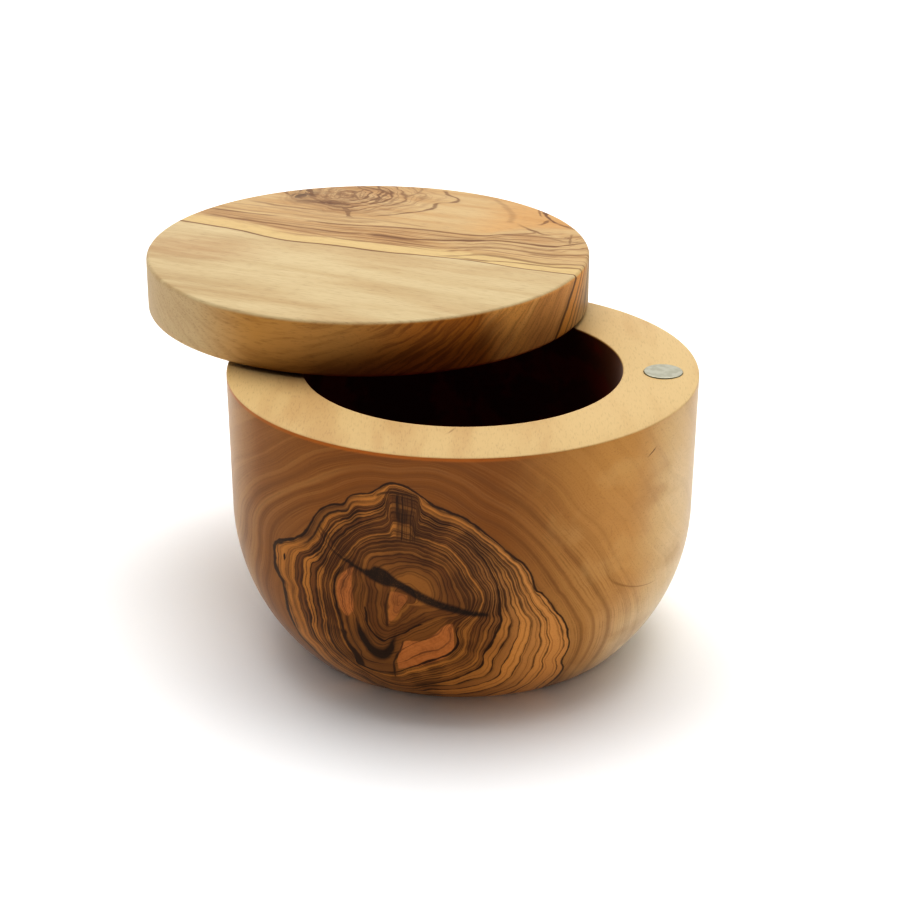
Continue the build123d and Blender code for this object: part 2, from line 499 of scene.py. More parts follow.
# Knot in the front of the bowl: growth lines as (x, z) points in mm, inner to outer.
KNOT_EYE = [
    (-17, 25.8), (-13.5, 28.5), (-11, 31), (-6, 32.5), (-5.5, 37), (-9, 41), (-13.5, 40.5),
    (-16.5, 37.5), (-17, 34.3), (-17.4, 30),
]
KNOT_HEART = [
    (-22, 34), (-22.6, 39), (-19.5, 43.8), (-14, 45), (-9, 44.6), (-5.5, 43), (-2.5, 39), (-0.5, 35.5),
    (0.5, 31.5), (-5, 28.5), (-10, 26), (-13.5, 23.4), (-16.5, 21.6), (-18.3, 20.8), (-20.1, 21.8),
    (-21.5, 24), (-22, 28),
]
KNOT_PATCHES = [
    (3.8, 34), (1.8, 38), (-1, 42.5), (-4.5, 46.5), (-9, 48), (-14, 48.3), (-20, 47.5), (-23.5, 44.6),
    (-26.2, 41), (-28.8, 35.5), (-29.3, 32), (-28.8, 27.5), (-28, 24), (-27.3, 20), (-26.3, 17),
    (-24.6, 14), (-23.8, 10), (-20, 8.8), (-17, 9.2), (-14.5, 10.3), (-12, 12.3), (-9, 14.6), (-6, 16.6),
    (-3, 19), (-1.2, 22), (-0.9, 26),
]
KNOT_FLAME = [
    (8.6, 33), (8.2, 36.5), (6.5, 41), (4.5, 44.5), (1.5, 48), (-2, 50), (-6, 51), (-9.3, 52), (-10, 55),
    (-10.5, 58.6), (-15.5, 58.8), (-16.3, 56), (-17, 52.5), (-19, 51.3), (-22, 50.3), (-25.5, 47.5),
    (-28.5, 44), (-31, 38.5), (-31.8, 34.5), (-32, 30), (-31.8, 25), (-31.2, 20), (-29.8, 15),
    (-26.5, 10.5), (-22, 7), (-15, 4), (-8, 6), (-3, 8.8), (1, 11.3), (3.5, 13), (4.8, 15), (5, 18),
    (6.2, 20.3), (7.5, 23.5), (8.9, 27), (8.6, 30),
]
KNOT_OUTLINE = [
    (-43.8, 34), (-43.8, 37.5), (-42.5, 39.5), (-40.5, 40.5), (-38.5, 42), (-36.8, 44), (-35, 47),
    (-33.5, 50), (-31.5, 52.3), (-29, 54), (-27, 54.6), (-26, 56), (-24.5, 57.6), (-21.5, 58.5),
    (-18.5, 60), (-17, 61.3), (-15, 61.9), (-12.5, 61.4), (-10.5, 60.2), (-8, 58.2), (-5, 56.5),
    (-2, 55.2), (1.5, 53.5), (5, 50.8), (8, 48), (11, 44.8), (14, 42), (15.8, 39), (16.8, 36),
    (18.5, 34), (20.2, 31), (22, 28), (23.5, 26), (24.4, 23), (24.5, 20), (24.9, 17), (24.3, 14.5),
    (23.5, 12), (24, 8), (20, 0), (-10, -4), (-30, 2), (-36, 9), (-38.5, 12.5), (-40, 16), (-41.2, 20),
    (-41.5, 24), (-41.8, 28), (-43.5, 31),
]
ROUND_KNOT = [
    (19.7, 34), (7.4, 51.7), (-10.3, 60), (-30, 54), (-44.3, 34), (-37, 7), (-10, -4), (16, -4),
    (26, 17),
]
KNOT_RINGS = (3, 4, 5, 8, 9)  # rings counted between one line and the next
KNOT_PITH = (-14.0, 0.0, 32.0)
CROWDING = [  # (rings from the pith, share of the finer lines that show)
    (0, 0.3), (3, 0.5), (6.5, 0.8), (8, 0.7), (12, 0.8), (19, 0.8), (20.5, 0.9), (24.5, 1.0),
    (25.5, 0.2), (27.5, 0.12), (28.3, 0.8), (29, 0.9),
]
OUTLINE_WEIGHT = [  # (degrees, half width in mm) of the line round the knot
    (0, 0.12), (80, 0.14), (95, 0.14), (120, 0.12), (150, 0.16), (162, 0.26), (168, 0.45), (182, 0.45),
    (190, 0.22), (230, 0.15), (300, 0.12), (360, 0.12),
]
HEART_WEIGHT = [(0, 0.0), (190, 0.0), (205, 0.16), (250, 0.2), (300, 0.14), (330, 0.0), (360, 0.0)]
PATCHES_WEIGHT = [
    (0, 0.0), (130, 0.0), (170, 0.16), (240, 0.2), (262, 0.1), (285, 0.2), (330, 0.14), (345, 0.0),
    (360, 0.0),
]
FLAME_WEIGHT = [
    (0, 0.2), (35, 0.1), (60, 0.0), (200, 0.0), (215, 0.1), (290, 0.1), (330, 0.2), (360, 0.2),
]
# Stains and patches in the knot: (x, z) points in mm, or (z, x) where they stand upright.
UPRIGHT_STAINS = (  # points, half width, soft edge, strength
    ([(9, -23.4), (12, -23.9), (15, -25.0), (17, -26.4), (19, -27.2), (22, -27.7)], 0.55, 0.5, 0.95),
    ([(7, -15.6), (12, -15.9), (15.5, -15.2), (18.5, -13.7), (21.5, -13.2)], 0.12, 0.3, 0.85),
    ([(24.5, -17.2), (27, -17.3), (30, -17.5), (34.5, -16.8)], 0.12, 0.4, 0.8),
)
LEVEL_STAINS = (
    ([(-19.6, 58.0), (-17, 59.2), (-13.5, 59.6), (-11, 59.0)], 0.12, 0.35, 0.8),
    ([(-33.4, 47.8), (-30.0, 44.8), (-27.0, 41.9), (-25.0, 40.2)], 0.3, 0.6, 0.6),
    ([(-34.2, 45.4), (-31.5, 43.4), (-28.6, 41.4)], 0.1, 0.5, 0.4),
)
WEDGE = [
    (-24.4, 25.5), (-23.5, 21.8), (-22.0, 18.6), (-20.4, 16.4), (-18.6, 15.8), (-17.2, 16.8),
    (-16.0, 18.8), (-14.8, 21.6),
]
CRACK_LOW = [
    (-33.4, 46.6), (-29.6, 42.3), (-26.2, 40.2), (-22, 37.7), (-18.5, 36.0), (-15, 35.4), (-12, 34.2),
    (-9, 32.6), (-5, 31.1), (0, 29.8), (4, 29.1), (6.4, 28.9),
]
CRACK_HIGH = [
    (-33.4, 46.9), (-29.6, 42.7), (-26.2, 40.9), (-22, 39.2), (-20.8, 39.3), (-19.4, 40.4),
    (-17.5, 40.0), (-15, 38.3), (-12, 36.4), (-9, 34.9), (-5, 33.2), (0, 31.5), (4, 30.3), (6.4, 29.6),
]
RIGHT_PATCH = (
    [(-15.0, 11.2), (-10.5, 13.0), (-7.0, 15.0), (-4.0, 17.4), (-2.4, 20.5), (-1.8, 25.0)],
    [(-15.0, 14.2), (-14.2, 17.6), (-13.2, 20.8), (-9.0, 21.8), (-6.0, 24.2), (-3.2, 27.0),
     (-1.8, 27.2)],
)
LEFT_PATCH = (
    [(25.3, -26.6), (28, -28.2), (32, -28.7), (36, -27.9), (39.3, -25.4)],
    [(25.3, -26.2), (28, -25.0), (32, -24.9), (36, -25.0), (39.3, -24.8)],
)
CHIP = (
    [(-17.0, 25.8), (-15.6, 27.4), (-13.9, 30.0), (-12.3, 33.0)],
    [(-17.0, 31.0), (-16.3, 34.3), (-12.3, 33.8)],
)
TONGUE = [(46.5, -11.8), (50.0, -12.0), (53.0, -12.4), (56.0, -13.0), (60.5, -13.2)]  # (z, x)
HOOK = [(26.6, 48.0), (26.9, 45.5), (28.2, 41.3), (33.2, 34.7), (40.0, 32.6), (44.0, 32.4)]  # (z, x)
FACING = radians(-4.83)  # turns +X to the right-hand side of someone who faces the knot
BOWL_STRETCH = (1, 0.2, 1)  # figure runs through the bowl from front to back
BORE_R_MM = BORE_R / MM
RIM_H_MM = BOWL_H / MM


def knot_figure(tree, place, bent, radius, turn):
    """The knot on the front of the bowl: growth lines, stains, patches and crack.

    Gives its colour, where it shows, the line round it, the crack and the noise that varies the lines.
    """
    drawn_lines = (KNOT_EYE, KNOT_HEART, KNOT_PATCHES, KNOT_FLAME, KNOT_OUTLINE)
    guides = [round_pith(tree, turn, KNOT_PITH, points) for points in drawn_lines]
    count, width = rings(tree, radius, guides, KNOT_RINGS)
    beyond = add(tree, MATH, {0: radius, 1: guides[-1]}, operation="SUBTRACT")
    outward = add(tree, MATH, {0: radius, 1: guides[-1]}, operation="DIVIDE")
    spot = add(tree, "ShaderNodeSeparateXYZ", {0: bent})
    x, z = spot.outputs["X"], spot.outputs["Z"]
    height = add(tree, "ShaderNodeSeparateXYZ", {0: place}).outputs["Z"]
    blotch = drawn_out(tree, place, BOWL_STRETCH, 9, 2.0)
    band = add(tree, NOISE, {"W": count, "Scale": 0.45, "Detail": 1.0}, noise_dimensions="1D").outputs[0]
    vary = mask(tree, (drawn_out(tree, place, BOWL_STRETCH, 5, 2.0), 0.35, 0.65, 0.45, 1.5))
    loose = drawn_out(tree, place, BOWL_STRETCH, 6, 1.5)
    drift = add(tree, MATH, {0: loose, 1: 0.5}, operation="SUBTRACT")
    drift = mask(tree, drift, (width, 0.6, 2.6, 2.5, 0.6))
    count = add(tree, MATH, {0: drift, 1: count}, operation="ADD")

    bold, shade, tone = late_wood(tree, count, width, 1.5, 0.135, vary, seed=3.0)
    medium, soft = late_wood(tree, count, width, 0.8, 0.115, vary, seed=7.0)[:2]
    fine = late_wood(tree, count, width, 0.3, 0.06, vary, seed=11.0)[0]
    crowd = drawn(tree, count, CROWDING, (0.0, 33.0), (0.0, 1.0))
    apart = mask(tree, (width, 0.9, 1.9, 1.0, 0.25), (width, 0.2, 0.5))
    lines = strongest(
        tree,
        mask(tree, bold, strongest(tree, crowd, mask(tree, (x, 0.0, 8.0, 0.4, 1.0)))),
        mask(tree, medium, crowd, apart, 0.9),
        mask(tree, fine, crowd, apart, 0.5),
    )
    low_right = mask(tree, (x, -8.0, 20.0), (outward, 0.3, 0.85))
    fainter = mask(tree, (outward, 0.25, 0.6, 0.75, 1.0), (low_right, 0.2, 1.0, 1.0, 0.72))
    lines = mask(tree, lines, (loose, 0.3, 0.5, 0.65, 1.0), fainter)

    streaks = add(tree, NOISE, {"W": x, "Scale": 1.3, "Detail": 3.0}, noise_dimensions="1D").outputs[0]
    tongue = vein(tree, z, x, TONGUE, 1.5, 1.9, 1.8)
    smudge = speck(tree, bent, (-13.2, 53.6), (3.0, 3.4), 0, 0.7)
    upright = strongest(
        tree,
        mask(tree, tongue, (streaks, 0.42, 0.6, 0.2, 0.9)),
        mask(tree, smudge, (streaks, 0.35, 0.55, 0.5, 0.9)),
    )
    stains = veins(tree, z, x, UPRIGHT_STAINS, vary, 1.0) + veins(tree, x, z, LEVEL_STAINS, vary, 0.8)
    fleck = speck(tree, bent, (-41.4, 36.0), (0.35, 1.1), 0, 0.5)

    mixed = add(tree, MATH, {0: band, 1: tone}, operation="ADD")
    mixed = add(tree, MATH, {0: mixed, 1: blotch}, operation="ADD")
    vee = mask(tree, window(tree, turn, 228 / 360, 264 / 360, 0.03), window(tree, count, 7.5, 13.0, 1.0))
    wedge = vein(tree, x, z, WEDGE, 1.3, 1.6, 0.8)
    weights = (HEART_WEIGHT, PATCHES_WEIGHT, FLAME_WEIGHT, OUTLINE_WEIGHT)
    *marked, edge_line = [
        along_line(tree, radius, guide, turn, weight, vary, 0.25)
        for guide, weight in zip(guides[1:], weights)
    ]
    grain = add(tree, NOISE, {"Vector": bent, "Scale": 0.9, "Detail": 3.0}).outputs[0]
    patch_wood = coats(tree, linear("A46838"), ("8C5529", (grain, 0.4, 0.7, 0.0, 0.5)))
    patches = strongest(
        tree,
        between(tree, x, z, *RIGHT_PATCH, 0.2),
        between(tree, z, x, *LEFT_PATCH, 0.3),
        mask(tree, between(tree, x, z, *CHIP, 0.2), 0.6),
    )
    figure = coats(
        tree,
        linear("A67034"),
        ("6A421E", (mixed, 1.1, 1.9)),
        ("BB8850", low_right, 0.7),
        ("5B3917", (outward, 0.3, 0.7, 0.55, 0.0)),
        ("4A2A0E", strongest(tree, soft, shade), 0.5),
        # Painted light: the figure lighter towards the foot, in place of light thrown up from the floor.
        ("BE8446", (height, 26.0, 8.0), 0.3),
        ("3A2414", vee, 0.45),
        ("1E130B", wedge, 0.9),
        (patch_wood, patches, 0.9),
        ("553619", tongue, 0.5),
        ("211108", strongest(tree, lines, upright, fleck, *stains, *marked), 0.93),
    )

    # Edge of the knot: a bold line on the left with a brown band inside it, thin on the right.
    second = how_far(tree, beyond, -1.8)
    upper_left = window(tree, turn, 120 / 360, 152 / 360, 0.03)
    figure = coats(
        tree,
        figure,
        ("4A2E1A", upper_left, window(tree, beyond, -1.8, 0.0, 0.2), 0.6),
        ("24160D", upper_left, (second, 0.1, 0.4, 0.8, 0.0)),
    )
    knot = add(tree, RANGE, {0: beyond, 1: -0.1, 2: 0.3, 3: 1.0, 4: 0.0})
    torn = add(tree, NOISE, {"Vector": bent, "Scale": 3.0, "Detail": 3.0}).outputs[0]
    crack = mask(tree, between(tree, x, z, CRACK_LOW, CRACK_HIGH, 0.5), (torn, 0.3, 0.5, 0.8, 1.0))
    return figure, knot, mask(tree, edge_line, 0.9), crack, vary


def bowl_material():
    """Olive wood, turned, sanded to 400 grit and oiled: satin, with black-brown late wood lines."""
    made, tree, shader = begun("olive_wood_turned_and_oiled_bowl")
    place = millimetres(tree, (0, 0, 0), FACING)
    bent = wandering(tree, place, (1, 0.12, 1), ((14, 0.8), (8, 0.5), (3, 0.25), (0.9, 0.1)))
    x = add(tree, "ShaderNodeSeparateXYZ", {0: bent}).outputs["X"]
    level = add(tree, "ShaderNodeSeparateXYZ", {0: place})
    depth, height = level.outputs["Y"], level.outputs["Z"]
    # The knot is a branch that narrows inward and ends inside the wood, so the back is plain.
    radius, turn = about_pith(tree, bent, KNOT_PITH)
    radius = mask(tree, radius, (depth, -25.0, 20.0, 1.0, 4.0))
    front = mask(tree, (depth, -5.0, 15.0, 1.0, 0.0))
    figure, knot, edge_line, crack, vary = knot_figure(tree, place, bent, radius, turn)

    # Plain wood round the knot: faint rings that follow it and smooth out with distance.
    calm = wandering(tree, place, (1, 0.12, 1), ((22, 3.0), (3, 0.12)))
    rising = add(tree, "ShaderNodeCombineXYZ", {"Z": mask(tree, (depth, -20.0, 45.0, 0.0, 75.0))})
    calm = add(tree, VECTOR, {0: calm, 1: rising}, operation="ADD")  # at the back the rings arch over
    far, far_turn = about_pith(tree, calm, KNOT_PITH)
    round_knot = round_pith(tree, far_turn, KNOT_PITH, ROUND_KNOT)
    outer = add(tree, MATH, {0: far, 1: round_knot}, operation="SUBTRACT")
    row = add(tree, MATH, {0: outer, 1: 60.0}, operation="ADD")  # stays above 0
    faint = add(tree, NOISE, {"W": row, "Scale": 0.4, "Detail": 3.0}, noise_dimensions="1D").outputs[0]
    hair = add(tree, NOISE, {"W": row, "Scale": 2.4, "Detail": 2.0}, noise_dimensions="1D").outputs[0]
    hair_strength = mask(tree, (outer, 4.0, 24.0, 0.27, 0.04), (vary, 0.45, 1.5, 0.3, 1.0))
    cloud = drawn_out(tree, place, BOWL_STRETCH, 11, 3.0)
    golden = mask(tree, (x, 5.0, 41.0))
    hook = vein(tree, height, x, HOOK, 0.05, 0.6)
    fleck = speck(tree, bent, (43.4, 62.0), (0.25, 1.7), -50, 0.7)
    rim_fleck = speck(tree, laid_flat(tree, place), (-2.5, -41.7), (0.35, 2.4), -26, 0.6)
    pale_rim = mask(tree, (height, RIM_H_MM - 0.3, RIM_H_MM - 0.05))
    corner = mask(tree, window(tree, height, RIM_H_MM - 0.7, RIM_H_MM - 0.2, 0.5), (x, 0.0, 25.0, 1.0, 0.0))
    plain_wood = coats(
        tree,
        linear("76491C"),
        ("80552E", (depth, 0.0, 35.0), 0.7),
        ("82562B", (x, -20.0, -45.0)),
        # Painted reflection: paler, greyer wood on the far left flank, the sheen of the white walls at the
        # edge.
        ("A88359", (x, -46.0, -57.0)),
        ("B88B53", golden),
        # Partly the paler sapwood, partly painted reflection: paler, greyer wood towards the right flank,
        # the sheen of the white walls.
        ("D0B489", (x, 38.0, 51.0)),
        ("B99C74", (x, 51.5, 57.0), 0.6),
        # Painted reflection: near-white wood low on the right, the white floor seen in the oiled surface.
        ("D9C8A8", (x, 27.0, 43.0), (height, 34.0, 8.0), 0.8),
        ("A87D3E", golden, (height, 48.0, 66.0), 0.3),
        ("653F1C", (faint, 0.42, 0.75), (outer, 4.0, 24.0, 0.5, 0.1)),
        ("5A3718", (hair, 0.48, 0.62), hair_strength),
        ("A57B48", (hair, 0.46, 0.34), hair_strength, 0.35),
        ("C9A873", (cloud, 0.5, 0.7), golden, 0.25),
        ("9A6F3C", (cloud, 0.5, 0.26), golden, 0.42),
        ("A8814F", (faint, 0.5, 0.3), (x, -20.0, -38.0, 0.1, 0.25)),
        ("6B431F", hook, front, (height, 30.0, 42.0, 0.45, 0.0)),
        ("4E321B", fleck, front, 0.8),
        ("B0641E", corner, 0.5),
        # Rim top much paler than the side: partly the wood's own tone, partly painted light from above.
        ("C3A97A", pale_rim, 0.94),
        ("AD885A", (cloud, 0.44, 0.66), pale_rim, 0.5),
        ("7A5A34", rim_fleck, pale_rim, 0.5),
    )

    # Inside the bore the wood is painted near black: painted shade of the deep cavity, with reddish clouds
    # of figure in it.
    within = (out_from_axis(tree, place), BORE_R_MM - 0.2, BORE_R_MM + 0.3, 1.0, 0.0)
    bore = mask(tree, within, (height, RIM_H_MM - 0.6, RIM_H_MM - 0.2, 1.0, 0.0), (height, 4.0, 8.0))
    colour = coats(
        tree,
        plain_wood,
        (figure, knot, front),
        ("24160D", edge_line, front),
        ("140D09", crack, front, 0.9),
        ("5C0D03", bore),
        ("A83210", bore, (cloud, 0.46, 0.6), 0.75),
    )
    oiled(tree, shader, place, (2.8, 0.45, 2.8), colour, "4F331B", amount=0.2, specular=0.15, sheen=0.28)
    return made


bowl_wood = bowl_material()

# Figure of the lid, in mm along and across the fibre from the lid's centre.
SPLIT_OF_WOODS = [
    (-56, 1.0), (-47, 0.7), (-38, 0.1), (-28, -2.1), (-22, -2.8), (-13, -1.9), (-4, -1.4), (3, -1.5),
    (15, -0.2), (24, 0.5), (33, 0.7), (41, 0.2), (48, 0.4), (54, 0.8),
]
BAND_FRONT = [
    (-54, 9.2), (-48, 8.3), (-41, 7.4), (-34, 6.5), (-26, 5.8), (-19, 5.1), (-12, 5.9), (-4, 6.9),
    (5, 7.8), (12, 7.3), (16, 7.1), (24, 10.2), (32, 13.0), (42, 13.2), (48, 14.4), (56, 17.0),
]
BAND_MIDDLE = [
    (-54, 11.2), (-45, 10.3), (-36, 9.8), (-28, 9.3), (-20, 9.0), (-13, 9.8), (-6, 11.3), (3, 11.2),
    (10, 11.3), (16, 13.1), (22, 16.0), (28, 18.9), (34, 20.0), (40, 19.9), (45, 20.9), (50, 26.3),
    (56, 30.0),
]
BAND_BACK = [
    (-54, 14.0), (-46, 13.4), (-36, 13.2), (-28, 13.2), (-21, 14.1), (-14, 14.6), (-6, 16.9), (3, 18.3),
    (16, 18.8), (21, 19.2), (24, 20.6), (27, 23.8), (32, 27.7), (36, 29.4), (42, 31.5), (50, 34.0),
]
BAND_LINES = (3, 3, 4)
LID_KNOT = (-26.0, 41.2, 0.0)
LID_KNOT_EDGE = [
    (0, 28.0), (20, 29.5), (35, 25.5), (120, 24.0), (180, 19.0), (270, 20.2), (335, 23.6), (360, 28.0),
]
STRAND_SOFTEN = 0.55  # share of each soft edge below that is drawn
LID_STRANDS = (  # (along, across) points, half width in mm, soft edge, strength
    ([(-56, 9.3), (-50, 8.9), (-44, 8.5), (-37, 8.5), (-30, 8.9), (-22, 8.8), (-15, 8.9),
      (-4, 10.2)], 0.3, 1.1, 0.75),
    ([(-56, 8.4), (-50, 8.1), (-46, 8.6), (-42, 9.4), (-36, 10.2)], 0.3, 0.8, 0.5),
    ([(-58, 11.6), (-46, 10.7), (-40, 10.4), (-24, 11.0), (-16, 11.4), (-4, 13.4), (2, 15.0),
      (8, 16.5)], 0.1, 0.9, 0.5),
    ([(-58, 14.3), (-50, 14.6), (-44, 14.7), (-38, 14.8), (-33, 15.6)], 0.35, 1.0, 0.7),
    ([(-40, 6.9), (-34, 6.5), (-27, 6.1), (-21, 6.0), (-14, 5.0), (-8, 4.4), (4, 6.2), (12, 6.5),
      (18, 6.8)], 0.2, 1.1, 0.5),
    ([(-56, 17.6), (-42, 17.0), (-36, 17.6), (-30, 18.6), (-20, 18.0), (-10, 19.0)], 0.1, 1.2, 0.35),
    ([(-54, 21.0), (-42, 22.0), (-35, 21.8), (-28, 20.6), (-20, 20.4), (-10, 22.0), (0, 22.4),
      (8, 21.4)], 0.1, 1.3, 0.35),
    ([(-50, 25.4), (-44, 25.2), (-38, 24.3), (-33, 24.4), (-26, 24.7), (-20, 25.2)], 0.3, 1.0, 0.5),
    ([(-27, 15.1), (-20, 14.9), (-13, 15.9), (-6, 17.6), (0, 18.6), (5, 19.4), (12, 20.1), (18, 20.6),
      (23, 21.5), (26, 23.4), (29, 25.2), (32, 26.1), (36, 27.0)], 0.25, 1.0, 0.75),
    ([(-8, 9.9), (0, 10.5), (5, 10.5), (10, 11.7), (14, 12.9), (18, 14.7), (22, 16.4), (26, 18.5),
      (30, 19.6), (35, 19.8), (40, 19.8), (44, 20.5), (46.5, 22.5), (48.5, 24.5), (50.5, 27.5),
      (53, 31)], 0.5, 1.1, 0.88),
    ([(16, 7.3), (20, 8.4), (24, 10.2), (28, 11.8), (32, 13.2), (37, 13.8), (43, 13.2), (48, 14.2),
      (55, 18), (64, 24)], 0.2, 1.3, 0.6),
    ([(24, 16.8), (30, 17.0), (36, 17.4), (42, 17.8), (46, 18.8), (54, 22.5), (64, 30)], 0.1, 0.8, 0.5),
    ([(18, 0.4), (23.6, 3.2), (30, 6.4), (34, 6.6), (39, 6.4), (46, 6.0), (52, 7.5),
      (64, 11)], 0.25, 1.1, 0.6),
    ([(22, 1.4), (30, 1.9), (35, 3.2), (40, 4.0), (45, 4.3), (50, 4.5), (54, 5.6),
      (64, 6.5)], 0.25, 0.7, 0.65),
    ([(34, 41.0), (37, 39.9), (39, 38.5), (42.5, 36.8), (46, 34.5)], 0.3, 1.0, 0.7),
    ([(30, 26.0), (36, 26.8), (41, 26.4), (45, 25.0), (49, 24.0)], 0.1, 1.2, 0.5),
    ([(27, 35.5), (29, 33.6), (31, 32.2), (34, 30.6), (37, 29.2), (41, 28.6)], 0.3, 0.9, 0.75),
)
LID_CROSSING = (  # (across, along) points, for those that stand across the fibre
    ([(38.5, 39.0), (40.5, 36.4), (42.5, 34.2), (44.5, 32.6), (47, 31.2), (49.5, 29.6),
      (54, 27)], 0.6, 0.8, 0.95),
    ([(43, 31.8), (46.5, 29.7), (50, 28.0), (54, 25.5)], 0.2, 0.6, 0.65),
    ([(35.5, 33.0), (37, 34.0), (39, 34.5), (42, 34.6)], 0.5, 0.8, 0.75),
    ([(26, 30.5), (28, 33.3), (30, 35.0), (31.5, 34.2)], 0.4, 1.0, 0.6),
    ([(23, 47.2), (26, 46.2), (29.5, 45.4), (32, 44.6)], 0.2, 0.7, 0.65),
    ([(34, 25.6), (38, 25.0), (41, 24.0), (45, 21.5), (49, 18.0), (54, 13.0)], 0.4, 2.0, 0.28),
    ([(24.0, -17.5), (25.4, -11.5), (27.2, -9.2), (31.8, -3.3), (34.7, -0.4), (39.4, 1.3), (42.9, 0.7),
      (45.2, 3.6), (47.5, 4.8), (49.9, 3.6), (52.2, 0.1), (56, -2.2)], 0.4, 1.0, 0.75),
    ([(28, -16.5), (31, -13.5), (34.7, -12.7), (39.4, -11.5), (43.5, -12.0), (46.4, -9.7), (53.3, -8.6),
      (57, -10.3)], 0.2, 1.1, 0.5),
    ([(33.0, -22.5), (34.7, -17.9), (37, -15.6), (41.7, -15.9), (46.4, -16.1), (49.9, -19.6),
      (54, -22.5)], 0.4, 0.9, 0.8),
    ([(37, -19.5), (40, -22.5), (43.5, -24.3), (46.4, -23.7), (49.3, -26.0),
      (52, -28.5)], 0.25, 0.7, 0.65),
    ([(21, -15.8), (23.5, -17.2), (26, -18.4), (28.5, -20.2), (31, -23.5)], 0.7, 1.1, 0.75),
    ([(34.8, -32.0), (37.7, -35.3), (41.7, -38.2), (45, -40.5)], 0.5, 0.6, 0.85),
    ([(33.5, -38.0), (35.0, -41.0), (38.0, -43.5), (40.0, -44.5)], 0.4, 0.7, 0.7),
)
LID_FIBRE = FACING + radians(22.8)
LID_STRETCH = (0.12, 1, 0.1)
LID_R_MM = RIM_R / MM
LAYER_LEAN = 0.93  # mm across for each mm down: the growth layers stand at about 45 degrees


def lid_knot(tree, rough, along, vary, streak, heartwood):
    """The small knot at the back of the lid: stained wood, curled fibre and the lines round it.

    Gives the heartwood's colour with the knot in it, and the lines to be drawn over it.
    """
    radius, turn = about_pith(tree, rough, LID_KNOT, "Y")
    edge = drawn(tree, turn, [(at / 360, r) for at, r in LID_KNOT_EDGE], WHOLE_TURN, PITH_REACH)
    count, width = rings(tree, radius, [11.0, edge], (5, 5))
    bold, shade = late_wood(tree, count, width, 1.3, 0.35, vary, seed=4.0, feather=2.6)[:2]
    fine = late_wood(tree, count, width, 0.6, 0.16, vary, seed=8.0, feather=2.2)[0]
    inside = mask(tree, add(tree, RANGE, {0: radius, 1: edge, 2: 12.0}), (along, -32.0, -18.0, 0.5, 1.0))
    level = laid_flat(tree, rough)
    curls = {"Vector": rough, "Scale": 1 / 2.2, "Detail": 3.0, "Distortion": 1.5}
    curl = add(tree, NOISE, curls).outputs[0]
    heartwood = coats(
        tree,
        heartwood,
        ("9A7043", (radius, 12.0, 32.0, 0.45, 0.0), (streak, 0.35, 0.65, 0.3, 1.0)),
        ("6F4827", speck(tree, level, (-28.0, 38.0), (12.5, 9.0), 20, 0.8), (curl, 0.4, 0.6, 0.1, 0.6)),
        ("5E3A1A", speck(tree, level, (-28.0, 32.0), (12.0, 3.6), 8, 0.9), (curl, 0.3, 0.6, 0.6, 1.0)),
        ("4A3726", speck(tree, level, (-37.5, 38.0), (3.8, 5.5), 30, 0.8), (curl, 0.35, 0.5), 0.95),
        ("93683C", shade, inside, 0.5),
    )
    return heartwood, mask(tree, strongest(tree, bold, mask(tree, fine, 0.6)), inside, 0.85)


